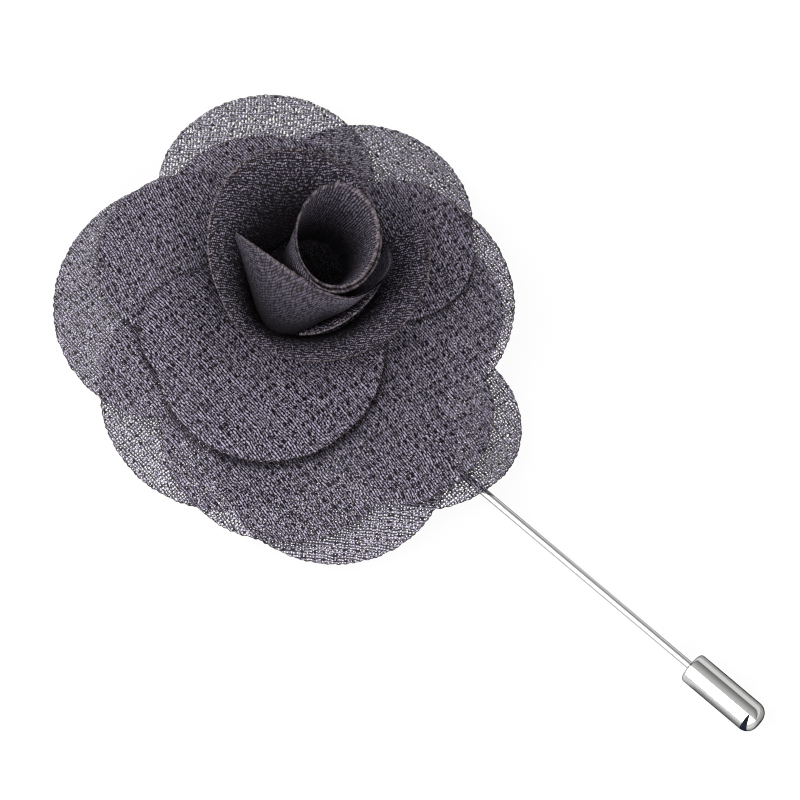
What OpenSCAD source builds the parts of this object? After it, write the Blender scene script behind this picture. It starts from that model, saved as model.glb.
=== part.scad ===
/* [Needle] */
// Height of the needle's axis above the surface that the pin lies on
axis_h = 1.75; // [1.75:0.01:1.8]
// Offset of the needle's axis to the side of the whole pin's middle
axis_y = -1.16; // [-1.4:0.02:-0.9]
// Radius of the needle's bare shank
shank_r = 0.42; // [0.36:0.02:0.44]
// How much the thick end of the point is thinner than the shank
ground = 0.02; // [0.01:0.01:0.05]
// Length of the tapered point, which lies inside the cap
point_len = 6.5; // [5:0.5:6.5]
// Radius of the thicker soldered root under the pad
root_r = 0.65; // [0.6:0.01:0.7]
// Diameter of the flat pad that the flower is fixed to
pad_d = 12; // [10:0.5:13]
// Thickness of the pad
pad_t = 0.7; // [0.5:0.1:0.8]

/* [Cap] */
// Where the cap's mouth is, along the pin from the whole pin's middle
cap_x = 36; // [30:0.5:38]
// Length of the cap
cap_len = 9.5; // [9:0.5:11]
// Outer radius of the cap
cap_r = 1.74; // [1.6:0.01:1.74]
// Rounding of the cap's closed end
cap_dome = 1.3; // [0.8:0.1:1.5]
// Rounding of the rim round the cap's mouth
cap_rim = 0.4; // [0.2:0.1:0.6]
// Radial clearance of the bore round the thick end of the needle's point
bore_gap = 0.05; // [0.02:0.01:0.1]
// Depth of the bore
bore_depth = 7; // [7:0.1:7.6]

/* [Flower] */
// Where the flower's middle is, along the pin from the whole pin's middle
flower_x = -19; // [-19.4:0.1:-18.6]
// Thickness of one cloth wall
cloth = 1.0; // [1:0.01:1.03]
// Gap between one cloth and the next
ply_gap = 0.14; // [0.12:0.01:0.15]
// Radius of the flat middle of each sheet, where it lies on the pad
flat_r = 7; // [6.5:0.5:8]
// Distance from the flower's middle at which a sheet's droop is given
droop_at = 26; // [24:1:28]
// Half width of the stretch over the needle where the sheets don't droop
ride_w = 6; // [5:0.5:7]
// Angle over which a petal narrows to its neck
neck = 14; // [10:1:20]
// Radius of the small hole in each sheet's middle
eye_r = 1.5; // [1:0.1:2]

/* [Bud] */
// Height of the rolled bud's mouth above the surface
mouth_h = 17; // [16:0.1:17.5]
// Half width of the bud's mouth across
mouth_a = 3.8; // [3.6:0.1:4]
// Half width of the bud's mouth along its longer way
mouth_b = 5.2; // [4.8:0.1:5.4]
// Direction of the mouth's shorter way
mouth_turn = 42; // [30:1:50]
// Radius of the bud at its foot
bud_r = 3.1; // [2.8:0.1:3.2]
// Turn of the rolled strip, more than once round
bud_turn = 400; // [380:5:410]
// Direction in which the rolled strip begins
bud_start = -40; // [-60:5:-20]

/* [Hidden] */

$fn = 96;
eps = 0.01;
petal_grey = [0.36, 0.33, 0.39];
petal_dark = [0.30, 0.28, 0.33];
steel = [0.80, 0.81, 0.83];

ply = cloth + ply_gap;
pad_top = axis_h + shank_r + pad_t - 0.2;
floor_z = pad_top + ply_gap + cloth / 2;

// Petals of each flat sheet, one row a petal: direction, distance of its round's middle, radius
lower_lobes = [[110.5, 13.8, 12.1], [2.5, 16.8, 9.3], [-105, 10.6, 14.1], [0, 0, 7]];
second_lobes = [[149.5, 17.5, 11.8], [52, 11, 9.5], [-38.5, 13.2, 13.0], [0, 0, 7]];
middle_lobes = [[-151, 14.5, 14.0], [160, 12.5, 11.6], [60, 8.5, 13.5], [-5.5, 13.4, 10.2],
                [-63.5, 11.1, 13.4], [0, 0, 7]];
upper_lobes = [[-168, 15.6, 9.8], [84.5, 12.3, 8.2], [-80, 8, 8.5], [135, 4.2, 8]];
front_lobes = [[-97, 6.1, 12.1], [-132, 12.2, 6.4], [135, 4.2, 8]];

// Sheets from the pad up, one row a sheet: height of its middle, droop at the flower's edge
lower_lay = [floor_z, 2.8];
second_lay = [floor_z + ply, 2.7];
middle_lay = [floor_z + 2 * ply, 2.5];
upper_lay = [floor_z + 3 * ply, 2.4];
front_lay = [floor_z + 4 * ply, 2.2];

// Middle of the bud's foot, and of its mouth, from the flower's middle
foot_at = [-3.5, 3.5];
mouth_at = [-1.9, 6.3];
foot_z = front_lay[0] + cloth / 2 + ply_gap + cloth / 2;

// Wrapped petal, one row a section: direction from the bud's foot, rim's distance and height,
// foot's distance
wrap_rows = [[60, 12.9, 12.0, 8.0], [25, 12.9, 12.0, 8.1], [-15, 12.3, 12.0, 8.2],
             [-50, 11.9, 12.0, 8.4], [-85, 11.2, 12.0, 8.3], [-115, 10.7, 12.6, 7.5],
             [-145, 11.1, 13.5, 6.3], [-175, 12.1, 14.0, 5.5], [-200, 12.6, 14.0, 5.2],
             [-225, 11.9, 14.0, 5.0], [-250, 10.5, 14.0, 4.8], [-275, 8.9, 14.1, 4.6],
             [-296, 7.9, 14.3, 4.8], [-310, 7.6, 14.6, 4.9]];

// Inner petal, the same columns
inner_rows = [[-54, 8.4, 10.7, 7.2], [-40, 8.6, 11.1, 7.0], [-26, 8.7, 11.4, 6.8],
              [-12, 8.5, 11.6, 6.7], [4, 8.3, 11.5, 6.7]];

// Folded petal, one row a section: hem x, y, z, belly x, y, z, foot x, y, z
fold_rows = [[2.3, 8.9, 15.4, 1.9, 8.2, 12, 0.4, 6.7, 9.0],
             [3.95, 7.6, 15.6, 3.0, 7.0, 12, 1.1, 5.6, 9.0],
             [4.55, 5.95, 15.6, 3.4, 5.6, 12, 1.4, 4.5, 9.0],
             [4.4, 3.9, 15.5, 3.4, 3.8, 12, 1.4, 3.1, 9.0],
             [3.6, 2.2, 15.2, 3.2, 1.7, 12, 1.0, 1.8, 9.0],
             [1.9, 1.3, 15.0, 2.1, -0.5, 11.8, 0.2, 0.6, 9.0],
             [-0.5, 0.8, 14.8, -0.3, -2.9, 11.2, -1.2, -0.6, 9.0],
             [-3.4, 0.5, 14.6, -2.4, -4.1, 10.8, -3.0, -1.1, 9.0],
             [-5.9, 0.3, 14.3, -4.3, -3.8, 11.1, -4.7, -1.0, 9.0],
             [-8.3, 0.2, 14.0, -6.7, -2.7, 11.9, -6.1, -0.4, 9.5],
             [-11.0, 0.0, 13.6, -9.7, -0.7, 12.7, -7.8, 0.4, 10.6]];

// Part of a ray at this turn from a round's middle direction that lies inside the round
function turn_from(a, b) = let (d = abs(a - b) % 360) d > 180 ? 360 - d : d;
function round_reach(lobe, off) =
    lobe[1] * cos(off) + sqrt(max(0, lobe[2] * lobe[2] - pow(lobe[1] * sin(off), 2)));
function lobe_reach(lobe, a) =
    let (off = turn_from(a, lobe[0]),
         edge = lobe[1] > lobe[2] ? asin(lobe[2] / lobe[1]) : 180)
    off <= edge ? round_reach(lobe, off)
                : lobe[1] * cos(edge) * max(0, 1 - (off - edge) / neck);
function outline(lobes, a) = max([for (lobe = lobes) lobe_reach(lobe, a)]);

// Share of the droop that a sheet has at a place: none where it lies over the needle
function free_share(x, y) =
    1 - exp(-pow((y - axis_y) / ride_w, 2)) * min(1, max(0, x / 10 + 0.3));
function sheet_z(lay, x, y) =
    lay[0] - lay[1] * pow(max(0, norm([x, y]) - flat_r) / (droop_at - flat_r), 2) * free_share(x, y);

// Middle surface of a flat sheet, rings from its eye to its outline
rings = [0, 0.35, 0.65, 0.88, 1];
function sheet_mid(lobes, lay, sides) =
    [for (u = rings) [for (k = [0 : sides - 1])
        let (a = k * 360 / sides,
             r = eye_r + (outline(lobes, a) - eye_r) * u,
             x = r * cos(a), y = r * sin(a))
        [x, y, sheet_z(lay, x, y)]]];

// A smooth way through the rows of a table, from 0 at the first to 1 at the last
function ease(p, q, r, s, t) =
    0.5 * (2 * q + (r - p) * t + (2 * p - 5 * q + 4 * r - s) * t * t
           + (3 * q - p - 3 * r + s) * t * t * t);
function along(rows, u) =
    let (last = len(rows) - 1, s = min(u * last, last - 0.0001), i = floor(s))
    ease(rows[max(i - 1, 0)], rows[i], rows[i + 1], rows[min(i + 2, last)], s - i);

// Middle surface of a standing petal: steep at its foot and flared at its rim
function standing_point(row, t) =
    let (r = row[3] + (row[1] - row[3]) * t, z = foot_z + (row[2] - foot_z) * sin(90 * t))
    [foot_at[0] + r * cos(row[0]), foot_at[1] + r * sin(row[0]), z];
function standing_mid(rows, steps, cols) =
    [for (i = [0 : steps]) [for (k = [0 : cols]) standing_point(along(rows, k / cols), i / steps)]];

// Middle surface of the folded petal: foot, belly and hem on one bow
function bow(foot, belly, hem, t) =
    let (pull = 2 * belly - (foot + hem) / 2)
    (1 - t) * (1 - t) * foot + 2 * t * (1 - t) * pull + t * t * hem;
function part_of(row, i) = [row[i], row[i + 1], row[i + 2]];
function folded_mid(steps, cols) =
    [for (i = [0 : steps]) [for (k = [0 : cols])
        let (row = along(fold_rows, k / cols))
        bow(part_of(row, 6), part_of(row, 3), part_of(row, 0), i / steps)]];

// Middle surface of the bud: a round foot that leans and widens to an oval mouth, its last
// stretch rolled inside its first
function roll_in(turn) = ply * 1.08 * min(1, max(0, (turn - 280) / 75));
function bud_point(turn, t) =
    let (a = bud_start + turn, b = a - mouth_turn,
         oval = mouth_a * mouth_b / sqrt(pow(mouth_b * cos(b), 2) + pow(mouth_a * sin(b), 2)),
         r = bud_r + (oval - bud_r) * pow(t, 1.3) - roll_in(turn),
         c = foot_at + (mouth_at - foot_at) * t)
    [c[0] + r * cos(a), c[1] + r * sin(a), foot_z + (mouth_h - foot_z) * t];
function bud_mid(steps, cols) =
    [for (i = [0 : steps]) [for (k = [0 : cols]) bud_point(bud_turn * k / cols, i / steps)]];

// A closed wall of cloth round a middle surface; level walls are thickened straight up
function square_on(mid, i, k) =
    let (rows = len(mid) - 1, cols = len(mid[0]) - 1,
         up = mid[min(i + 1, rows)][k] - mid[max(i - 1, 0)][k],
         side = mid[i][min(k + 1, cols)] - mid[i][max(k - 1, 0)],
         n = cross(up, side))
    n / norm(n);
function moved(mid, dist, level) =
    [for (i = [0 : len(mid) - 1]) [for (k = [0 : len(mid[0]) - 1])
        mid[i][k] + dist * (level ? [0, 0, 1] : square_on(mid, i, k))]];
module cloth_wall(mid, level) {
    rows = len(mid);
    cols = len(mid[0]);
    side = rows * cols;
    last = level ? cols - 1 : cols - 2;
    top = moved(mid, cloth / 2, level);
    under = moved(mid, -cloth / 2, level);
    points = [for (face = [top, under], row = face, p = row) p];
    faces = [
        for (i = [0 : rows - 2], k = [0 : last])
            let (a = i * cols + k, b = i * cols + (k + 1) % cols, c = b + cols, d = a + cols)
            each [[a, b, c], [a, c, d], [side + a, side + c, side + b], [side + a, side + d, side + c]],
        for (k = [0 : last], i = [0, rows - 1])
            let (a = i * cols + k, b = i * cols + (k + 1) % cols)
            each i == 0 ? [[a, side + a, side + b], [a, side + b, b]]
                        : [[a, b, side + b], [a, side + b, side + a]],
        if (!level)
            for (i = [0 : rows - 2], k = [0, cols - 1])
                let (a = i * cols + k, b = a + cols)
                each k == 0 ? [[a, b, side + b], [a, side + b, side + a]]
                            : [[a, side + a, side + b], [a, side + b, b]]
    ];
    polyhedron(points, faces, convexity = 8);
}

module on_flower() {
    translate([flower_x, 0, 0]) children();
}

module along_pin(x) {
    translate([x, axis_y, axis_h]) rotate([0, 90, 0]) children();
}

module flat_sheet(lobes, lay, sides = 80) {
    on_flower() cloth_wall(sheet_mid(lobes, lay, sides), true);
}

module needle() {
    root_x = flower_x - pad_d / 2 + 1;
    root_len = pad_d - 0.6;
    color(steel) union() {
        translate([flower_x, axis_y, pad_top - pad_t]) cylinder(r = pad_d / 2, h = pad_t);
        along_pin(root_x) cylinder(r = root_r, h = root_len);
        along_pin(root_x + root_len - eps) cylinder(r = shank_r, h = cap_x - root_x - root_len + eps);
        along_pin(cap_x - eps) cylinder(r1 = shank_r - ground, r2 = 0.06, h = point_len + eps);
    }
}

module cap() {
    color(steel) difference() {
        along_pin(cap_x) rotate_extrude() {
            translate([0, cap_rim]) square([cap_r, cap_len - cap_rim - cap_dome]);
            square([cap_r - cap_rim, cap_rim + eps]);
            translate([cap_r - cap_rim, cap_rim]) circle(cap_rim);
            translate([0, cap_len - cap_dome - eps]) square([cap_r - cap_dome, cap_dome + eps]);
            translate([cap_r - cap_dome, cap_len - cap_dome]) intersection() {
                circle(cap_dome);
                square(cap_dome + eps);
            }
        }
        along_pin(cap_x - eps) cylinder(r = shank_r - ground + bore_gap, h = bore_depth);
    }
}

module lower_petals() {
    color(petal_grey) flat_sheet(lower_lobes, lower_lay);
}

module second_petals() {
    color(petal_grey) flat_sheet(second_lobes, second_lay);
}

module middle_petals() {
    color(petal_grey) flat_sheet(middle_lobes, middle_lay);
}

module upper_petals() {
    color(petal_grey) flat_sheet(upper_lobes, upper_lay, 72);
}

module front_petal() {
    color(petal_grey) flat_sheet(front_lobes, front_lay, 60);
}

module wrapped_petal() {
    color(petal_dark) on_flower() cloth_wall(standing_mid(wrap_rows, 4, 48), false);
}

module inner_petal() {
    color(petal_dark) on_flower() cloth_wall(standing_mid(inner_rows, 3, 12), false);
}

module folded_petal() {
    color(petal_grey) on_flower() cloth_wall(folded_mid(6, 24), false);
}

module bud() {
    color(petal_dark) on_flower() cloth_wall(bud_mid(5, 40), false);
}

needle();
cap();
lower_petals();
second_petals();
middle_petals();
upper_petals();
front_petal();
wrapped_petal();
inner_petal();
folded_petal();
bud();
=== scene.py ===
"""Looks of a lapel pin: a rose of crepe petals on a bright needle with its cap."""

import math

import bmesh
import bpy
from mathutils import Matrix, Vector, noise


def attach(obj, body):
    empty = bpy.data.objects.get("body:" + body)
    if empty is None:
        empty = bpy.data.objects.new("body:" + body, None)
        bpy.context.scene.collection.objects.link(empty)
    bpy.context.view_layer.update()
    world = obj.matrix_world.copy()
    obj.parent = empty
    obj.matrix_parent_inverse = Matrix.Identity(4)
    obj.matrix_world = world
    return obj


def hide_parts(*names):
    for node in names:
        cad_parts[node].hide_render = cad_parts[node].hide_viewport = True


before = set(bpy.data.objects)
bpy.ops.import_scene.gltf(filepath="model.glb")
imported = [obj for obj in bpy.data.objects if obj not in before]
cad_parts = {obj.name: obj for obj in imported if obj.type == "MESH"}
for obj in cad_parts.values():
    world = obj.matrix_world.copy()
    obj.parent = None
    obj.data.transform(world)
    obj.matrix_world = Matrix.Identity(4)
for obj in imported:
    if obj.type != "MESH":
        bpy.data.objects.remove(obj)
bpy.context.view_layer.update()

MM = 0.001

# Camera: where it looks, from which side and how far, in millimetres and degrees
AIM = Vector((-6.53, 0.045, 4.0))
AZIMUTH = 41.83
ELEVATION = 70.0
CAMERA_DISTANCE = 600.0
FRAME_WIDTH = 86.02
SENSOR = 36.0

# Studio light: brightness by tilt, in degrees from straight up towards the far side
LAMP = 3.6
LAMP_TILT = (-13.0, -10.5)
LAMP_EDGE = 0.2
LAMP_EDGE_SHARE = 0.4
LAMP_EDGE_TILT = (-10.0, -8.0)
CEILING = (0.80, 0.24)
CEILING_TILT = (-11.0, 52.0)
SWEEP = 1.0
SWEEP_TILT = (52.0, 55.0)

# Dark gap between the near lamps, and a painted dark wedge of shade on the floor past the cap: its sides, in
# degrees round
GAP_FROM = (-5.0, -3.0)
GAP_TO = (32.0, 36.0)
DARK = (0.02, 0.03, 0.05, 1)

# Floor, 3 m each way: as it is seen, and as the metal mirrors it beside the pin, under the cap and past the
# cap's end.
# What the metal mirrors is painted: lighter on the near side, with a painted shadow round the cap
FLOOR_SIZE = 3.0
FLOOR_SEEN = 0.06
FLOOR_GLOW = 0.93
FLOOR_LEFT = 0.72
FLOOR_RIGHT = 0.44
FLOOR_SIDES = (-2.0, 2.0)
CAP_SHADOW_GREY = 0.06
FLOOR_REACH = 10.5
UNDER_CAP = (35.8, 37.8)
PAST_CAP = 44.5
PAST_STEEP = 4.0

# Needle, measured along the pin from its middle
AXIS_Y = -1.16
AXIS_Z = 1.75
SHANK_R = 0.42
ROOT_R = 0.65
ROOT_FROM = -24.0
ROOT_TO = -12.6
ROOT_EDGE = 0.1
ROOT_TAPER = 0.2
TAPER_R = 0.4
TAPER_STEP = 0.05
POINT_TO = 42.5
POINT_R = 0.06

# Round pad under the flower, and beads of solder by their place along the pad and their radii
PAD_R = 6.0
PAD_TOP = 2.67
PAD_T = 0.7
PAD_BEVEL = 0.15
BEADS = (-3.0, 0.0, 3.0)
BEAD_SIZE = (1.5, 0.95, 0.3, 1.0)

# Cap, with its rounded rim, its domed end and its blind bore
CAP_FROM = 36.0
CAP_TO = 45.5
CAP_R = 1.74
CAP_RIM = 0.4
CAP_DOME = 1.3
BORE_R = 0.45
BORE_TO = 43.0
BORE_EDGE = 0.1

# Turned pieces: how far inside a long stretch its extra rings stand, and the angle of a crease
STEADY = 0.3
CAP_STEADY = 0.1
SHARP = 35.0

# Plating: base and roughness of needle and cap, tint at the edge, grain along and across the pin
STEEL = (0.62, 0.62, 0.62, 1)
STEEL_ROUGH = 0.16
CAP_METAL = (0.62, 0.62, 0.61, 1)
CAP_ROUGH = 0.07
PLATING_EDGE = (0.25, 0.25, 0.27, 1)
PLATING_GRAIN = (300.0, 9000.0, 9000.0)

# Cloth: thickness, and a flat sheet's steps
CLOTH = 0.2
SHEET_STEPS = (640, 30)

# Stack of flat sheets, measured from the flower's own middle, and where they ride on the needle
FLOWER_X = -19.0
PLY = 1.14
STACK_Z = 3.31
FLAT_R = 7.0
DROOP_AT = 26.0
RIDE_W = 6.0
RIDE_FADE = 10.0
RIDE_FROM = 0.3

# Outline of a flat sheet: neck between petals in degrees, eye in the middle, nibbled edge
NECK = 14.0
EYE_R = 1.5
HEM_OUT = 0.22
NIBBLE = 0.10
NIBBLE_SIZE = 1.1

# Edge of a flat sheet: its waves, and how it sags where it rests on the sheets below
EDGE_WAVE = 0.3
EDGE_WAVE_SIZE = 8.0
RESTING_CALM = 0.6
REST_W = 2.0
RIM_SAG = 0.55
SAG_FROM = 0.7
SAG_SPAN = 0.3

# Standing petals: their common foot, and the waves of their walls and rims
FOOT_Z = 8.95
FOOT_AT = Vector((-3.5, 3.5))
SWAY = 0.15
SWAY_SIZE = 5.0
RIM_WAVE = 0.2
RIM_WAVE_SIZE = 6.0
SEED_STEP = 7.3

# Shade round the standing petals' foot, on the sheets under it
HEART_R = 8.0
SHADE_X = -2.0
UNCOVERED = 9.0

# What fades out along a strip: size at its start, and the share of its length where it ends
# WRAP_LIT and FOLD_LIT keep the painted shade of the foot off a strip's start
WRAP_LIT = (3.0, 0.3)
FOLD_LIT = (8.0, 0.5)
# Widens the fold's seam lines at its start, a painted light on a band in shade
FOLD_SEAM_LIGHT = (0.7, 0.4)

# Bud: oval mouth, flare of its wall, turns of its roll
MOUTH_AT = Vector((-1.75, 6.0))
MOUTH_A = 4.25
MOUTH_B = 5.8
MOUTH_H = 17.2
MOUTH_TURN = 42.0
BUD_R = 3.4
BUD_FLARE = 1.3
BUD_TURN = 490.0
BUD_START = -78.0

# Outer layer of the bud's roll: how far out and how much lower it lies, and where it goes under
BUD_ROLL = 0.3
BUD_STEP = 0.5
ROLLED_OVER = 170.0
ROLLED_FADE = 90.0

# Lip round the bud's mouth
BUD_LIP = 0.3
LIP_DROP = 0.25
LIP_FROM = 0.92
LIP_SPAN = 0.08

# Petals of each flat sheet: direction, distance of the round's middle, radius
LOWER_LOBES = [(110.5, 13.8, 12.1), (2.5, 16.8, 9.3), (-105, 10.6, 14.1), (0, 0, 7)]
SECOND_LOBES = [(149.5, 17.5, 11.8), (52, 11, 9.5), (-38.5, 13.2, 13.0), (0, 0, 7)]
MIDDLE_LOBES = [(-151, 14.5, 14.0), (160, 12.5, 11.6), (60, 8.5, 13.5), (-5.5, 13.4, 10.2),
                (-63.5, 11.1, 13.4), (0, 0, 7)]
UPPER_LOBES = [(-168, 15.6, 9.8), (84.5, 12.3, 8.2), (-80, 8, 8.5), (135, 4.2, 8)]
FRONT_LOBES = [(-97, 6.1, 12.1), (-132, 12.2, 6.4), (135, 4.2, 8)]

# Flat sheets from the pad up: name, petals, droop at the flower's edge, turn of the rows,
# reach of the pores at the flower's left and right, strength of the shade beside a sheet above
SHEETS = [
    ("lower_petals", LOWER_LOBES, 2.8, 9, (0.385, 0.385), 0.3),
    ("second_petals", SECOND_LOBES, 2.7, -37, (0.445, 0.285), 0.4),
    ("middle_petals", MIDDLE_LOBES, 2.5, 12, (0.31, 0.37), 0.75),
    ("upper_petals", UPPER_LOBES, 2.4, 20, (0.34, 0.37), 0.95),
    ("front_petal", FRONT_LOBES, 2.2, 8, (0.34, 0.34), 0.0),
]

# Standing petals: direction from the foot, rim's distance and height, foot's distance
WRAP_ROWS = [(60, 12.9, 12.0, 7.3), (25, 12.9, 12.0, 7.4), (-15, 12.3, 12.0, 7.6),
             (-50, 11.9, 12.0, 7.8), (-85, 11.2, 12.0, 7.9), (-115, 10.7, 12.6, 6.7),
             (-145, 11.1, 13.5, 5.2), (-175, 12.1, 14.0, 4.3), (-200, 12.6, 14.0, 4.0),
             (-225, 11.9, 14.0, 3.9), (-250, 10.5, 14.0, 3.9), (-275, 8.9, 14.1, 4.0),
             (-296, 7.9, 14.3, 4.2), (-310, 7.6, 14.6, 4.4)]
INNER_ROWS = [(-56, 8.3, 10.4, 6.9), (-40, 8.2, 10.8, 6.5), (-26, 8.1, 11.3, 6.2),
              (-12, 8.0, 11.6, 6.1), (4, 7.9, 11.7, 6.1), (18, 8.0, 11.7, 6.2),
              (32, 8.0, 11.6, 6.1), (45, 7.7, 11.4, 5.9)]

# Folded petal: hem x, y, z, belly x, y, z, foot x, y, z
FOLD_ROWS = [(2.6, 9.2, 15.4, 1.9, 8.2, 12.0, 0.4, 6.7, 9.0),
             (4.25, 7.9, 15.6, 3.0, 7.0, 12.0, 1.1, 5.6, 9.0),
             (4.85, 6.2, 15.6, 3.4, 5.6, 12.0, 1.4, 4.5, 9.0),
             (4.6, 4.0, 15.5, 3.4, 3.8, 12.0, 1.4, 3.1, 9.0),
             (3.6, 2.2, 15.2, 3.2, 1.7, 12.0, 1.0, 1.8, 9.0),
             (1.9, 1.3, 15.0, 2.2, -0.6, 11.8, 0.2, 0.6, 9.0),
             (-0.5, 0.8, 14.8, 0.5, -3.6, 10.8, -1.2, -0.6, 9.0),
             (-3.4, 0.5, 14.6, -1.6, -4.8, 10.4, -3.0, -1.1, 9.0),
             (-5.9, 0.3, 14.3, -3.9, -4.3, 10.9, -4.7, -1.0, 9.0),
             (-8.3, 0.2, 14.0, -6.6, -2.8, 11.9, -6.1, -0.4, 9.5),
             (-11.0, 0.0, 13.6, -9.7, -0.7, 12.7, -7.8, 0.4, 10.6)]

# Colours of the crepe: threads, gaps between them and singed edge, which follow a piece's tone,
# then the rest
THREAD = (0.355, 0.317, 0.422)
BETWEEN = (0.014, 0.012, 0.014)
SINGED = (0.045, 0.032, 0.027)
# Tone of a painted lit band, where a shaded stretch is shown lighter
PAINTED_LIGHT_TONE = 0.8
# Painted shade seen through the eyelets and pores
SHADE_IN_HOLES = (0.007, 0.005, 0.006, 1)
BOUND = (0.21, 0.17, 0.18, 1)
SCORCHED = (0.028, 0.014, 0.010, 1)
SHADED = (0.006, 0.005, 0.006, 1)
# Painted shade at the foot of a standing piece
DEEP_SHADE = (0.005, 0.004, 0.005, 1)

# Pores and eyelets of the crepe: how many to a millimetre, luck of their places, sizes
PORES = (2.9, 3.1, 1.0)
PORE_LUCK = 0.5
PORE_LOW = 0.65
PORE_SOFT = (-0.10, 0.06)
LACE_SPAN = (-20.0, 15.0)
EYELETS = (0.9, 1.5, 1.0)
EYELET_LUCK = 0.4
EYELET_R = 0.28
EYELET_LOW = 0.14
EYELET_SOFT = (-0.08, 0.04)

# Pull of the cloth out of true, waver of the rows, specks, scallops of the cut edge
DRIFT = 0.6
DRIFT_SIZE = 0.35
WAVER_SIZE = 1.7
ROW_STEP = 0.37
SPECKS = 3.6
SCALLOPS = (1.5, 1.5, 1.0)
SCALLOP_LUCK = 0.5
SHEER = 0.18

# Lines along a rim, in millimetres, and shades: heights and strengths
SINGED_EDGE = (0.03, 0.12)
BOUND_W = 0.12
SCORCH_FROM = 0.08
SCORCH_TO = (0.18, 0.28)
BESIDE_W = 0.9
HEART_SHADE = (2.5, 9.0, 0.35, 0.0)
FOOT_SHADE = (0.94, 0.0)


class Look:
    """How one piece's crepe looks. The values here are those of the flat sheets."""

    grain = 0.0            # turn of the rows, in degrees
    rows = 3.7             # rows of threads to a millimetre
    stitches = 1.5         # stitches to a millimetre of a row
    luck = 0.5             # how much the stitches differ
    gap = 0.5              # how dark the ends of a stitch are
    thin_at = 0.15         # where a thread's side turns dark
    depth = 1.0            # contrast of the threads
    specks = 0.5           # strength of the fine specks
    waver = 0.5            # waver of the rows
    tone = 1.0             # brightness of the threads; below 1 on the heart's pieces it is painted shade
    painted_light = None          # stretch over which the cloth goes from a painted lit tone to its own
    holes = 1.0            # strength of the pores and eyelets
    lace = (0.34, 0.34)    # reach of the pores at the flower's left and right
    nick = 0.24            # depth of the scallops
    hem = 0.0              # strength of the bound and scorched lines along the rim
    seam = 0.22            # distance of those lines from the rim, in millimetres
    beside = 0.0           # strength of the shade beside a sheet above
    foot = (0.0, 3.5)      # heights over which the painted shade at the foot fades, in millimetres

    def __init__(self, **own):
        vars(self).update(own)


# Looks of the standing pieces: what all four share, the coarse weave of the outer two, their own
STANDING = {"holes": 0.0, "nick": 0.05, "hem": 0.6}
COARSE = {"grain": -42, "rows": 3.4, "stitches": 4.6, "luck": 0.9, "gap": 0.9, "thin_at": 0.38,
          "specks": 1.0, "waver": 1.7, "seam": 0.3}
# Tones below 1 darken the crepe of the wrap, fold and bud as painted shade of the heart
WRAP_LOOK = Look(**STANDING, **COARSE, tone=0.74, foot=(1.6, 7.8))
INNER_LOOK = Look(**STANDING, **COARSE, foot=(-4.0, -3.0))
FOLD_LOOK = Look(**STANDING, grain=22, rows=6.2, stitches=5.2, luck=0.35, depth=0.6, specks=0.6,
                 waver=0.2, tone=0.37, painted_light=(3.6, 6.2), foot=(4.4, 8.6))
BUD_LOOK = Look(**STANDING, grain=84, rows=3.6, stitches=3.6, luck=0.7, specks=0.6, tone=0.45,
                seam=0.42, foot=(1.0, 9.5))


def set_camera():
    """A long lens at the photograph's angle."""
    turn, rise = math.radians(AZIMUTH), math.radians(ELEVATION)
    back = Vector((math.sin(turn) * math.cos(rise), -math.cos(turn) * math.cos(rise), math.sin(rise)))
    data = bpy.data.cameras.new("camera")
    data.sensor_width = SENSOR
    data.lens = SENSOR * CAMERA_DISTANCE / FRAME_WIDTH
    data.clip_start = 0.01
    camera = bpy.data.objects.new("camera", data)
    camera.location = (AIM + back * CAMERA_DISTANCE) * MM
    camera.rotation_euler = back.to_track_quat("Z", "Y").to_euler()
    bpy.context.scene.collection.objects.link(camera)
    bpy.context.scene.camera = camera


class Value:
    """One socket of a node tree. Arithmetic on it adds Math nodes."""

    def __init__(self, finish, socket):
        self.finish = finish
        self.socket = socket

    def of(self, name):
        return Value(self.finish, self.socket.node.outputs[name])

    def chance(self):
        """A chance from 0 to 1 of each cell's own."""
        return self.finish.node("SeparateColor", {}, {0: self.of("Color")})

    def __add__(self, other):
        return self.finish.math("ADD", self, other)

    __radd__ = __add__

    def __sub__(self, other):
        return self.finish.math("SUBTRACT", self, other)

    def __rsub__(self, other):
        return self.finish.math("SUBTRACT", other, self)

    def __mul__(self, other):
        return self.finish.math("MULTIPLY", self, other)

    __rmul__ = __mul__

    def floor(self):
        return self.finish.node("Math", {"operation": "FLOOR"}, {0: self})

    def sine(self):
        return self.finish.node("Math", {"operation": "SINE"}, {0: self})

    def __abs__(self):
        return self.finish.node("Math", {"operation": "ABSOLUTE"}, {0: self})

    def clamped(self):
        """The value kept between 0 and 1."""
        return self.finish.node("Math", {"operation": "ADD", "use_clamp": True}, {0: self, 1: 0.0})


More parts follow.
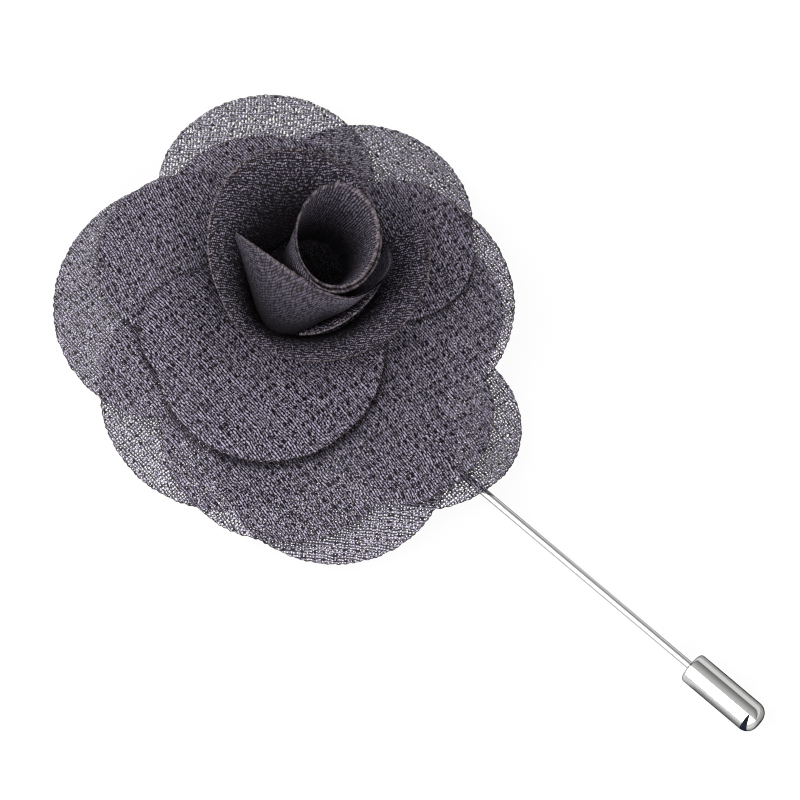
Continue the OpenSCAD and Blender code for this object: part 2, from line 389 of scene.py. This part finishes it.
class Finish:
    """A material or the world, and one way to add any node to it."""

    def __init__(self, owner):
        owner.use_nodes = True
        self.tree = owner.node_tree
        self.tree.nodes.clear()

    def node(self, kind, settings, sockets, out=0):
        made = self.tree.nodes.new("ShaderNode" + kind)
        for key, value in settings.items():
            setattr(made, key, value)
        for place, value in sockets.items():
            if isinstance(value, Value):
                self.tree.links.new(value.socket, made.inputs[place])
            else:
                made.inputs[place].default_value = value
        return Value(self, made.outputs[out]) if made.outputs else made

    def math(self, operation, first, second):
        return self.node("Math", {"operation": operation}, {0: first, 1: second})

    def mix(self, share, first, second):
        return self.node("Mix", {"data_type": "RGBA"}, {0: share, 6: first, 7: second}, out=2)

    def smooth(self, value, low, high, to_low=0.0, to_high=1.0):
        """An eased step of a value between two levels."""
        return self.node("MapRange", {"interpolation_type": "SMOOTHSTEP"},
                         {0: value, 1: low, 2: high, 3: to_low, 4: to_high})

    def stored(self, name):
        """A number stored in the points of the piece's own mesh."""
        return self.node("Attribute", {"attribute_name": name}, {}, out="Fac")

    def noise(self, place, size, detail, out=0):
        return self.node("TexNoise", {"noise_dimensions": "2D"},
                         {"Vector": place, "Scale": size, "Detail": detail}, out=out)

    def scattered(self, place, density, luck):
        """Distance to the nearest of many scattered middles."""
        spread = self.node("VectorMath", {"operation": "MULTIPLY"}, {0: place, 1: density})
        return self.node("TexVoronoi", {"voronoi_dimensions": "2D"},
                         {"Vector": spread, "Scale": 1.0, "Randomness": luck}, out="Distance")


def grey(level):
    """A plain grey."""
    return (level, level, level, 1.0)


def toned(colour, tone):
    """A colour made darker or lighter."""
    return tuple(part * tone for part in colour) + (1,)


def threads(finish, cloth, pulled, look):
    """Brightness of the threads in their rows, and the luck of each stitch."""
    apart = finish.node("SeparateXYZ", {}, {0: pulled})
    line = apart.of("Y") * look.rows + finish.noise(cloth, WAVER_SIZE, 2.0) * look.waver
    row = line.floor()
    place = apart * look.stitches + row * ROW_STEP
    stitch = place.floor()
    luck = finish.node("TexWhiteNoise", {"noise_dimensions": "2D"},
                       {"Vector": finish.node("CombineXYZ", {}, {0: stitch, 1: row})})
    side = ((line - row) * math.pi).sine()
    ends = ((place - stitch) * math.pi).sine()
    body = side * (1 - look.gap + look.gap * finish.smooth(ends, 0.0, 0.6))
    strand = finish.smooth(body, look.thin_at, 0.95) * (1 - look.luck + look.luck * luck)
    specks = finish.smooth(finish.noise(cloth, SPECKS, 1.0), 0.30, 0.68, 1 - look.specks, 1 + look.specks)
    return (strand * look.depth + (1 - look.depth) * 0.5) * specks, luck


def crepe(name, look):
    """Crepe: rows of slanting threads, sunk eyelets and small open pores, cut edges browned by heat. Eyelets
    and pores are darkened with painted shade, and painted shades and a painted lit band lie over the cloth.
    """
    material = bpy.data.materials.new(name)
    finish = Finish(material)
    cloth = finish.node("UVMap", {"uv_map": "cloth"}, {})
    turned = finish.node("Mapping", {}, {0: cloth, 2: (0, 0, math.radians(look.grain))})
    drift = finish.noise(turned, DRIFT_SIZE, 3.0, out="Color")
    pulled = finish.node("VectorMath", {"operation": "MULTIPLY_ADD"},
                         {0: drift, 1: (DRIFT, DRIFT, 0.0), 2: turned})
    along_x = finish.node("SeparateXYZ", {}, {0: cloth})

    away = finish.scattered(pulled, PORES, PORE_LUCK)
    reach = PORE_LOW + (1 - PORE_LOW) * away.chance()
    reach = reach * finish.smooth(along_x, *LACE_SPAN, *look.lace)
    pores = finish.smooth(away - reach, *PORE_SOFT, 1.0, 0.0)
    away = finish.scattered(pulled, EYELETS, EYELET_LUCK)
    reach = finish.smooth(away.chance(), 0.1, 0.9, EYELET_LOW, EYELET_R)
    eyelets = finish.smooth(away - reach, *EYELET_SOFT, 1.0, 0.0)
    strand, luck = threads(finish, cloth, pulled, look)

    edge = finish.stored("rim") - finish.scattered(cloth, SCALLOPS, SCALLOP_LUCK) * look.nick
    burnt = finish.smooth(edge, *SINGED_EDGE, 1.0, 0.0)
    bound = finish.smooth(edge, look.seam - BOUND_W, look.seam, 1.0, 0.0)
    bound = bound * finish.smooth(luck, 0.35, 0.8, 0.1, 1.0)
    scorched = finish.smooth(edge, look.seam, look.seam + SCORCH_FROM)
    scorched = scorched * finish.smooth(edge, look.seam + SCORCH_TO[0], look.seam + SCORCH_TO[1], 1.0, 0.0)
    scorched = scorched * finish.smooth(luck, 0.4, 0.6)
    sunk = (pores * 0.7 + eyelets).clamped() * (0.1 + 0.9 * look.holes)

    light = toned(THREAD, look.tone)
    # Painted light: the strip's first millimetres, which lie in shade, are given lighter threads
    if look.painted_light:
        light = finish.mix(finish.smooth(along_x, *look.painted_light, 1.0, 0.0), light, toned(THREAD, PAINTED_LIGHT_TONE))
    colour = finish.mix(strand, toned(BETWEEN, look.tone), light)
    # The eyelets and the rims of the pores are darkened with painted shade of what lies below them
    colour = finish.mix(sunk * 0.92, colour, SHADE_IN_HOLES)
    colour = finish.mix(burnt * 0.5, colour, toned(SINGED, look.tone))
    colour = finish.mix(scorched * look.hem, colour, SCORCHED)
    colour = finish.mix(bound * look.hem, colour, BOUND)
    beyond, lit = finish.stored("beyond"), finish.stored("lit")
    # Painted shades: beside a sheet above, round the heart's foot on the flat sheets, darkest at the foot of
    # a standing piece
    colour = finish.mix(finish.smooth(beyond, 0.0, BESIDE_W, look.beside, 0.0), colour, SHADED)
    colour = finish.mix(finish.smooth(lit, *HEART_SHADE) * look.holes, colour, SHADED)
    colour = finish.mix(finish.smooth(lit, *look.foot, *FOOT_SHADE), colour, DEEP_SHADE)

    bump = finish.node("Bump", {}, {"Strength": 0.7, "Distance": 0.0001, "Height": strand * 0.5 - sunk},
                       out="Normal")
    thin = (1 - strand) * (1 - burnt) * SHEER
    opened = finish.smooth(pores * (1 - burnt), 0.3, 0.7)
    cut = finish.smooth(edge, -0.01, 0.01, 1.0, 0.0)
    gone = ((opened + thin).clamped() * look.holes + cut).clamped()
    surface = finish.node("BsdfPrincipled", {}, {
        "Base Color": colour, "Roughness": 0.85, "Alpha": 1 - gone, "Normal": bump,
        "Specular IOR Level": 0.05})
    finish.node("OutputMaterial", {}, {"Surface": surface})
    return material


def plated(name, colour, roughness):
    """Bright plating with a faint drawn grain along the pin."""
    material = bpy.data.materials.new(name)
    finish = Finish(material)
    place = finish.node("TexCoord", {}, {}, out="Object")
    grain = finish.node("Mapping", {}, {0: place, 3: PLATING_GRAIN})
    lines = finish.node("TexNoise", {}, {"Vector": grain, "Scale": 1.0, "Detail": 2.0})
    rough = finish.smooth(lines, 0.3, 0.75, roughness * 0.7, roughness * 1.6)
    surface = finish.node("BsdfPrincipled", {}, {
        "Base Color": colour, "Metallic": 1.0, "Roughness": rough, "Specular Tint": PLATING_EDGE})
    finish.node("OutputMaterial", {}, {"Surface": surface})
    return material


def turn_from(a, b):
    """Angle between two directions, from 0 to 180 degrees."""
    turn = abs(a - b) % 360
    return 360 - turn if turn > 180 else turn


def lobe_reach(lobe, a):
    """How far one round petal reaches in a direction, narrowing to its neck beside it."""
    direction, distance, radius = lobe
    off = turn_from(a, direction)
    edge = math.degrees(math.asin(radius / distance)) if distance > radius else 180
    if off <= edge:
        side = distance * math.sin(math.radians(off))
        return distance * math.cos(math.radians(off)) + math.sqrt(max(0.0, radius ** 2 - side ** 2))
    return distance * math.cos(math.radians(edge)) * max(0.0, 1 - (off - edge) / NECK)


def outline(lobes, a):
    """How far a lobed sheet reaches in a direction."""
    return max(lobe_reach(lobe, a) for lobe in lobes)


def outside(layers, x, y):
    """How far a place lies outside the rounds of some sheets, in millimetres."""
    ways = [math.hypot(x - distance * math.cos(math.radians(a)), y - distance * math.sin(math.radians(a)))
            - radius for lobes in layers for a, distance, radius in lobes]
    return min(ways, default=UNCOVERED)


def free_share(x, y):
    """Share of the droop at a place: none where a sheet lies over the needle."""
    over = math.exp(-((y - AXIS_Y) / RIDE_W) ** 2)
    return 1 - over * min(1.0, max(0.0, x / RIDE_FADE + RIDE_FROM))


def sheet_height(level, droop, x, y):
    """Height of a flat sheet at a place, drooping towards the flower's edge."""
    beyond = max(0.0, math.hypot(x, y) - FLAT_R) / (DROOP_AT - FLAT_R)
    return STACK_Z + PLY * level - droop * beyond ** 2 * free_share(x, y)


def wave(x, y, seed, size):
    """A slow, even wave of the cloth, from -1 to 1."""
    return noise.noise(Vector((x / size, y / size, SEED_STEP * seed)))


def fading(s, size, end):
    """From size at a strip's start down to 0 at a share of its length."""
    return size * max(0.0, 1 - s / end)


def along(rows, u):
    """A smooth way through the rows of a table, from 0 at the first to 1 at the last."""
    last = len(rows) - 1
    s = min(u * last, last - 1e-4)
    i = int(s)
    t = s - i
    rounds = zip(rows[max(i - 1, 0)], rows[i], rows[i + 1], rows[min(i + 2, last)])
    return [0.5 * (2 * q + (r - p) * t + (2 * p - 5 * q + 4 * r - e) * t ** 2
                   + (3 * q - p - 3 * r + e) * t ** 3) for p, q, r, e in rounds]


# A place function takes shares s and t of a piece. It gives the point, its place in the flat cloth,
# and how far it is from the rim, from the sheets above and from the painted shade of the heart's foot
def flat_place(lobes, level, droop, below, above):
    """Where a flat sheet's point goes: s round the flower, t from the eye to the outline."""
    def place(s, t):
        a = 360 * s
        reach = outline(lobes, a) + HEM_OUT
        turn = math.radians(a)
        nibble = NIBBLE * noise.noise(Vector((math.cos(turn), math.sin(turn), 0)) * reach * NIBBLE_SIZE)
        r = EYE_R + (reach + nibble - EYE_R) * t
        x, y = r * math.cos(turn), r * math.sin(turn)
        under = max([outline(lobes, a) for lobes in below], default=0.0)
        rests = min(1.0, max(0.0, (under - reach) / REST_W))
        ripple = EDGE_WAVE * t ** 2 * wave(x, y, level, EDGE_WAVE_SIZE) * (1 - RESTING_CALM * rests)
        z = sheet_height(level, droop, x, y) + ripple
        z -= RIM_SAG * rests * max(0.0, (t - SAG_FROM) / SAG_SPAN) ** 2
        lit = math.hypot(x - FOOT_AT.x - SHADE_X, y - FOOT_AT.y) - HEART_R
        return (x, y, z), (x, y), reach - r, outside(above, x, y), lit
    return place


def standing_place(rows, length, tall):
    """Where a standing petal's point goes: s along its rows, t from foot to rim."""
    def place(s, t):
        direction, rim, high, foot = along(rows, s)
        turn = math.radians(direction)
        r = foot + (rim - foot) * t + SWAY * t * wave(s * length, 0, 3, SWAY_SIZE)
        z = FOOT_Z + (high - FOOT_Z) * math.sin(math.radians(90 * t))
        z += RIM_WAVE * t * wave(s * length, 9, 5, RIM_WAVE_SIZE)
        at = (FOOT_AT.x + r * math.cos(turn), FOOT_AT.y + r * math.sin(turn), z)
        return at, at[0:2], (1 - t) * tall, UNCOVERED, tall * t + fading(s, *WRAP_LIT)
    return place


def folded_place(length, tall):
    """Where the folded petal's point goes: s along its hem, t from foot to hem."""
    def place(s, t):
        row = along(FOLD_ROWS, s)
        hem, belly, foot = Vector(row[0:3]), Vector(row[3:6]), Vector(row[6:9])
        pull = 2 * belly - (foot + hem) / 2
        at = (1 - t) ** 2 * foot + 2 * t * (1 - t) * pull + t ** 2 * hem
        # Near the fold's start the seam lines widen: painted light on a band in shade
        rim = (1 - t) * tall * (1 - fading(s, *FOLD_SEAM_LIGHT))
        return at, (s * length, t * tall), rim, UNCOVERED, tall * t + fading(s, *FOLD_LIT)
    return place


def bud_place(length, tall):
    """Where the bud's point goes: s round its roll, t from foot to mouth."""
    def place(s, t):
        turn = BUD_TURN * s
        a = math.radians(BUD_START + turn)
        b = a - math.radians(MOUTH_TURN)
        oval = MOUTH_A * MOUTH_B / math.hypot(MOUTH_B * math.cos(b), MOUTH_A * math.sin(b))
        outer = min(1.0, max(0.0, (ROLLED_OVER - turn) / ROLLED_FADE))
        outer *= outer * (3 - 2 * outer)
        lip = max(0.0, (t - LIP_FROM) / LIP_SPAN) ** 2
        r = BUD_R + (oval - BUD_R) * t ** BUD_FLARE + BUD_ROLL * outer + BUD_LIP * lip
        z = FOOT_Z + (MOUTH_H - BUD_STEP * outer - FOOT_Z) * t
        z += SWAY * t * wave(s * length, 2, 9, SWAY_SIZE)
        z -= LIP_DROP * lip
        middle = FOOT_AT.lerp(MOUTH_AT, t)
        at = (middle.x + r * math.cos(a), middle.y + r * math.sin(a), z)
        return at, (s * length, t * tall), (1 - t) * tall, UNCOVERED, tall * t
    return place


def finished(name, bm, finish):
    """An object of a bmesh, with its material."""
    mesh = bpy.data.meshes.new(name)
    bm.to_mesh(mesh)
    bm.free()
    mesh.materials.append(finish)
    piece = bpy.data.objects.new(name, mesh)
    bpy.context.scene.collection.objects.link(piece)
    return piece


def cloth_piece(name, place, steps_round, steps_deep, finish):
    """A cloth wall: a grid whose points go where place(s, t) says, thickened both ways."""
    bm = bmesh.new()
    bmesh.ops.create_grid(bm, x_segments=steps_round, y_segments=steps_deep, size=0.5)
    rim = bm.verts.layers.float.new("rim")
    beyond = bm.verts.layers.float.new("beyond")
    lit = bm.verts.layers.float.new("lit")
    uv = bm.loops.layers.uv.new("cloth")
    for vert in bm.verts:
        at, flat, to_rim, to_cover, to_foot = place(vert.co.x + 0.5, vert.co.y + 0.5)
        vert.co = (Vector(at) + Vector((FLOWER_X, 0, 0))) * MM
        vert[rim] = max(0.0, to_rim)
        vert[beyond] = to_cover
        vert[lit] = to_foot
        for loop in vert.link_loops:
            loop[uv].uv = flat
    bmesh.ops.remove_doubles(bm, verts=bm.verts, dist=1e-8)
    for face in bm.faces:
        face.smooth = True
    piece = finished(name, bm, finish)
    wall = piece.modifiers.new("wall", "SOLIDIFY")
    wall.thickness = CLOTH * MM
    wall.offset = 0.0
    return piece


def turned_piece(name, profile, finish, sides):
    """A round piece on the needle's axis, spun from points (along the pin, radius)."""
    bm = bmesh.new()
    points = [bm.verts.new(Vector((x, AXIS_Y + r, AXIS_Z)) * MM) for x, r in profile]
    edges = [bm.edges.new(pair) for pair in zip(points, points[1:])]
    bmesh.ops.spin(bm, geom=points + edges, cent=Vector((0, AXIS_Y, AXIS_Z)) * MM, axis=(1, 0, 0),
                   angle=math.tau, steps=sides, use_merge=True)
    bmesh.ops.remove_doubles(bm, verts=bm.verts, dist=1e-7)
    bmesh.ops.recalc_face_normals(bm, faces=bm.faces)
    for face in bm.faces:
        face.smooth = True
    for edge in bm.edges:
        edge.smooth = len(edge.link_faces) == 2 and edge.calc_face_angle() < math.radians(SHARP)
    return finished(name, bm, finish)


def arc(x, r, radius, start, stop, steps=8):
    """Points of a quarter round about (x, r), in degrees from straight out to along the pin."""
    turns = [math.radians(start + (stop - start) * i / steps) for i in range(steps + 1)]
    return [(x + radius * math.sin(a), r + radius * math.cos(a)) for a in turns]


def make_needle(steel):
    """The needle with its root. Rings near its ends keep the long stretch's shading straight."""
    profile = [(ROOT_FROM, 0), (ROOT_FROM, ROOT_R - ROOT_EDGE), (ROOT_FROM + ROOT_EDGE, ROOT_R),
               (ROOT_TO - ROOT_TAPER, ROOT_R), (ROOT_TO, SHANK_R), (ROOT_TO + STEADY, SHANK_R),
               (CAP_FROM - STEADY, SHANK_R), (CAP_FROM, SHANK_R),
               (CAP_FROM + TAPER_STEP, TAPER_R), (POINT_TO, POINT_R), (POINT_TO, 0)]
    needle = turned_piece("needle_wire", profile, steel, sides=40)
    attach(needle, "pin")
    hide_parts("needle")


def make_pad(steel):
    """The round pad under the flower, with solder along the needle's root."""
    bm = bmesh.new()
    middle = Matrix.Translation(Vector((FLOWER_X, AXIS_Y, PAD_TOP - PAD_T / 2)) * MM)
    bmesh.ops.create_cone(bm, cap_ends=True, segments=96, radius1=PAD_R * MM, radius2=PAD_R * MM,
                          depth=PAD_T * MM, matrix=middle)
    rims = [edge for edge in bm.edges if len(edge.link_faces) == 2 and edge.calc_face_angle() > 1.0]
    bmesh.ops.bevel(bm, geom=rims, offset=PAD_BEVEL * MM, affect="EDGES", segments=3, profile=0.5,
                    material=-1)
    for x in BEADS:
        bead = Matrix.Translation(Vector((FLOWER_X + x, AXIS_Y, PAD_TOP - PAD_T)) * MM)
        bmesh.ops.create_uvsphere(bm, u_segments=24, v_segments=12, radius=MM,
                                  matrix=bead @ Matrix.Diagonal(BEAD_SIZE))
    for face in bm.faces:
        face.smooth = len(face.verts) < 10
    pad = finished("flower_pad", bm, steel)
    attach(pad, "pin")
    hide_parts("needle")


def make_cap(metal):
    """The cap, from the bottom of its bore round the rim to the middle of its dome."""
    profile = [(BORE_TO, 0), (BORE_TO, BORE_R), (CAP_FROM + BORE_EDGE, BORE_R),
               (CAP_FROM, BORE_R + BORE_EDGE),
               *arc(CAP_FROM + CAP_RIM, CAP_R - CAP_RIM, CAP_RIM, -90, 0),
               (CAP_FROM + CAP_RIM + CAP_STEADY, CAP_R), (CAP_TO - CAP_DOME - CAP_STEADY, CAP_R),
               *arc(CAP_TO - CAP_DOME, CAP_R - CAP_DOME, CAP_DOME, 0, 90, steps=14), (CAP_TO, 0)]
    cap = turned_piece("push_cap", profile, metal, sides=96)
    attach(cap, "cap")
    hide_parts("cap")


def path_length(points):
    """Length of a way over a standing piece, in millimetres."""
    points = [Vector(point[0]) for point in points]
    return sum((b - a).length for a, b in zip(points, points[1:]))


def make_flat_sheets():
    """The five lobed sheets, stacked on the pad."""
    layers = [sheet[1] for sheet in SHEETS]
    for level, (node, lobes, droop, grain, lace, beside) in enumerate(SHEETS):
        finish = crepe(node + "_crepe", Look(grain=grain, lace=lace, beside=beside))
        place = flat_place(lobes, level, droop, layers[:level], layers[level + 1:])
        piece = cloth_piece(node + "_cloth", place, *SHEET_STEPS, finish)
        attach(piece, "pin")
        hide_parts(node)
        rim = [outline(lobes, a) for a in range(360)]
        spread = [(r * math.cos(math.radians(a)), r * math.sin(math.radians(a))) for a, r in enumerate(rim)]
        width = max(x for x, y in spread) - min(x for x, y in spread)
        length = max(y for x, y in spread) - min(y for x, y in spread)
        area = sum(r * r for r in rim) * math.pi / 360
        width * MM
        length * MM
        area * MM ** 2


def make_standing(node, maker, steps, look):
    """A standing strip of cloth, from the place function that maker gives for its size."""
    rough = maker(1.0, 1.0)
    length = path_length([rough(i / 200, 0.5) for i in range(201)])
    tall = path_length([rough(0.5, i / 20) for i in range(21)])
    finish = crepe(node + "_crepe", look)
    piece = cloth_piece(node + "_cloth", maker(length, tall), *steps, finish)
    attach(piece, "pin")
    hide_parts(node)


def make_heart():
    """The wrapped, inner and folded petals and the rolled bud."""
    make_standing("wrapped_petal", lambda long, tall: standing_place(WRAP_ROWS, long, tall),
                  (420, 26), WRAP_LOOK)
    make_standing("inner_petal", lambda long, tall: standing_place(INNER_ROWS, long, tall),
                  (90, 16), INNER_LOOK)
    make_standing("folded_petal", folded_place, (240, 40), FOLD_LOOK)
    make_standing("bud", bud_place, (320, 40), BUD_LOOK)


def make_floor():
    """A white floor. The camera sees it lit through, so that shadows on it stay faint. What the metal mirrors
    of it holds painted shade: greyer on the far side, a painted shadow round the cap, a dark wedge past the
    cap's end.
    """
    bm = bmesh.new()
    bmesh.ops.create_grid(bm, x_segments=1, y_segments=1, size=FLOOR_SIZE)
    material = bpy.data.materials.new("pale_floor")
    finish = Finish(material)
    seen = finish.node("LightPath", {}, {}, out="Is Camera Ray")
    place = finish.node("SeparateXYZ", {}, {0: finish.node("TexCoord", {}, {}, out="Object")})
    across = place.of("Y") * (1 / MM) - AXIS_Y
    ahead = place * (1 / MM)
    beside = finish.math("MAXIMUM", abs(across), (ahead - PAST_CAP) * PAST_STEEP)
    far = finish.mix(finish.smooth(across, *FLOOR_SIDES), grey(FLOOR_LEFT), grey(FLOOR_RIGHT))
    # Painted shadow of the cap on the floor, seen only in the metal
    near = finish.mix(finish.smooth(ahead, *UNDER_CAP), far, grey(CAP_SHADOW_GREY))
    pale = finish.mix((beside * (1 / FLOOR_REACH)).clamped(), near, far)
    turn = finish.math("ARCTAN2", ahead - (CAP_TO - CAP_DOME), 0 - across) * (180 / math.pi)
    gap = finish.smooth(turn, *GAP_FROM) * finish.smooth(turn, *GAP_TO, 1.0, 0.0)
    surface = finish.node("BsdfPrincipled", {}, {
        "Base Color": finish.mix(seen, finish.mix(gap, pale, DARK), grey(FLOOR_SEEN)),
        "Roughness": 0.9, "Specular IOR Level": 0.0,
        "Emission Color": finish.mix(seen, grey(0.0), grey(1.0)), "Emission Strength": FLOOR_GLOW})
    finish.node("OutputMaterial", {}, {"Surface": surface})
    finished("floor", bm, material)


def make_light():
    """A pale room: two wide soft lights on the near left with a dark gap, a ceiling, a white sweep beyond."""
    world = bpy.data.worlds.new("studio")
    bpy.context.scene.world = world
    finish = Finish(world)
    way = finish.node("SeparateXYZ", {}, {0: finish.node("TexCoord", {}, {}, out="Generated")})
    tilt = finish.math("ARCTAN2", way.of("Y"), way.of("Z")) * (180 / math.pi)
    turn = finish.math("ARCTAN2", way, 0 - way.of("Y")) * (180 / math.pi)
    gap = finish.smooth(turn, *GAP_FROM) * finish.smooth(turn, *GAP_TO, 1.0, 0.0)
    ceiling = finish.mix(finish.smooth(tilt, *CEILING_TILT), grey(CEILING[0]), grey(CEILING[1]))
    sweep = finish.mix(finish.smooth(tilt, *SWEEP_TILT), ceiling, grey(SWEEP))
    edged = finish.mix(finish.smooth(tilt, *LAMP_EDGE_TILT, LAMP_EDGE_SHARE, 0.0), sweep, grey(LAMP_EDGE))
    lamps = finish.mix(gap, grey(LAMP), DARK)
    colour = finish.mix(finish.smooth(tilt, *LAMP_TILT), lamps, edged)
    finish.node("OutputWorld", {}, {"Surface": finish.node("Background", {}, {0: colour, 1: 1.0})})
    bpy.context.scene.view_settings.view_transform = "Standard"
    bpy.context.scene.cycles.transparent_max_bounces = 24
    bpy.context.scene.cycles.filter_width = 1.0


set_camera()
make_floor()
make_light()
make_flat_sheets()
make_heart()
bright_steel = plated("bright_steel", STEEL, STEEL_ROUGH)
make_needle(bright_steel)
make_pad(bright_steel)
make_cap(plated("cap_plating", CAP_METAL, CAP_ROUGH))
